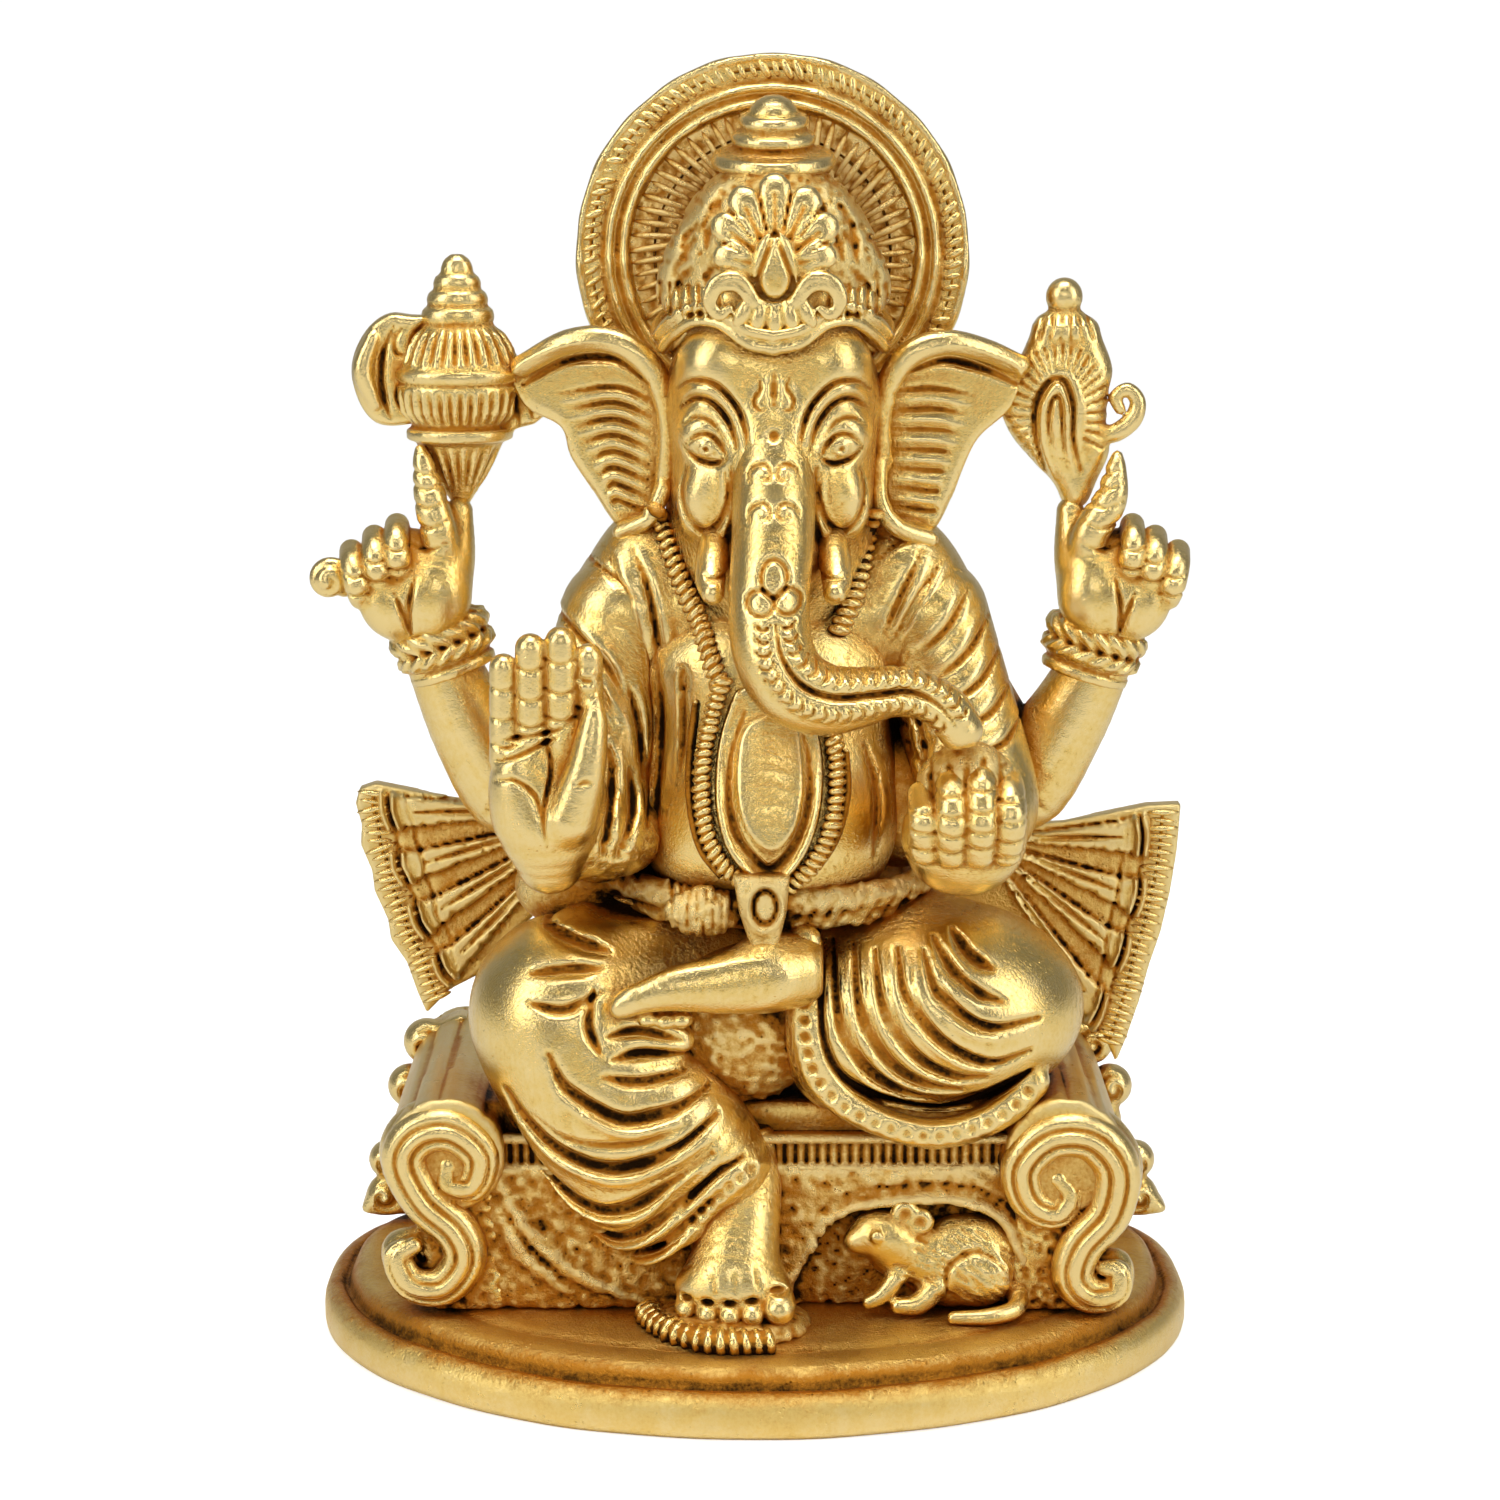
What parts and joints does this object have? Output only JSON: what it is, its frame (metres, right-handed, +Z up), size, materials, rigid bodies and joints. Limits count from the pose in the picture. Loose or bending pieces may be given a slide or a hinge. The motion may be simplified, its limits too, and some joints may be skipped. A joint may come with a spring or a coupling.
{
  "type": "hindu deity statue",
  "caption": "Seated elephant-headed deity figurine in antiqued brass, with raised arms and attributes, a crown and a halo, on a scroll-legged throne over a stepped oval plinth.",
  "frame": {"origin": "middle of the plinth's flat underside", "axes": "+Z up to the top of the halo, -Y the way the figure faces, +X towards the figure's own left side"},
  "size_m": [0.1234, 0.081, 0.178],
  "materials": {
    "polished_brass": "cast brass, buffed bright on the raised work with dark patina left in the recesses",
    "antiqued_brass": "cast brass, chemically darkened, textured and only lightly buffed"
  },
  "bodies": {
    "root": {"plinth": "polished_brass", "throne_seat": "antiqued_brass", "seat_border": "antiqued_brass", "throne_body": "antiqued_brass", "throne_leg_front_left": "polished_brass", "throne_leg_rear_left": "polished_brass", "throne_leg_front_right": "polished_brass", "throne_leg_rear_right": "polished_brass", "mouse": "polished_brass", "mouse_tail": "polished_brass", "foot_cushion": "antiqued_brass", "dhoti_hips": "polished_brass", "leg_right_thigh": "polished_brass", "leg_right_shin": "polished_brass", "foot_right": "polished_brass", "leg_left_folded": "polished_brass", "foot_left": "polished_brass", "belly": "polished_brass", "waist_belt": "polished_brass", "shawled_chest": "polished_brass", "arm_right_front": "polished_brass", "hand_right_front": "polished_brass", "arm_left_front": "polished_brass", "sweet": "polished_brass", "hand_left_front": "polished_brass", "arm_right_back": "polished_brass", "arm_left_back": "polished_brass", "bracelet_right_back": "polished_brass", "bracelet_left_back": "polished_brass", "hand_right_back": "polished_brass", "hand_left_back": "polished_brass", "lotus_mace": "polished_brass", "axe_blade": "polished_brass", "noose_end": "polished_brass", "conch": "polished_brass", "head": "polished_brass", "trunk": "polished_brass", "tusk_left": "polished_brass", "tusk_right": "polished_brass", "ear_right": "polished_brass", "ear_left": "polished_brass", "crown_band": "polished_brass", "crown_dome": "polished_brass", "crown_crest": "polished_brass", "crown_finial": "polished_brass", "halo_disc": "antiqued_brass", "halo_rim": "polished_brass", "sash_right": "polished_brass", "sash_left": "polished_brass", "pendant": "polished_brass", "garland": "polished_brass"}
  },
  "joints": []
}
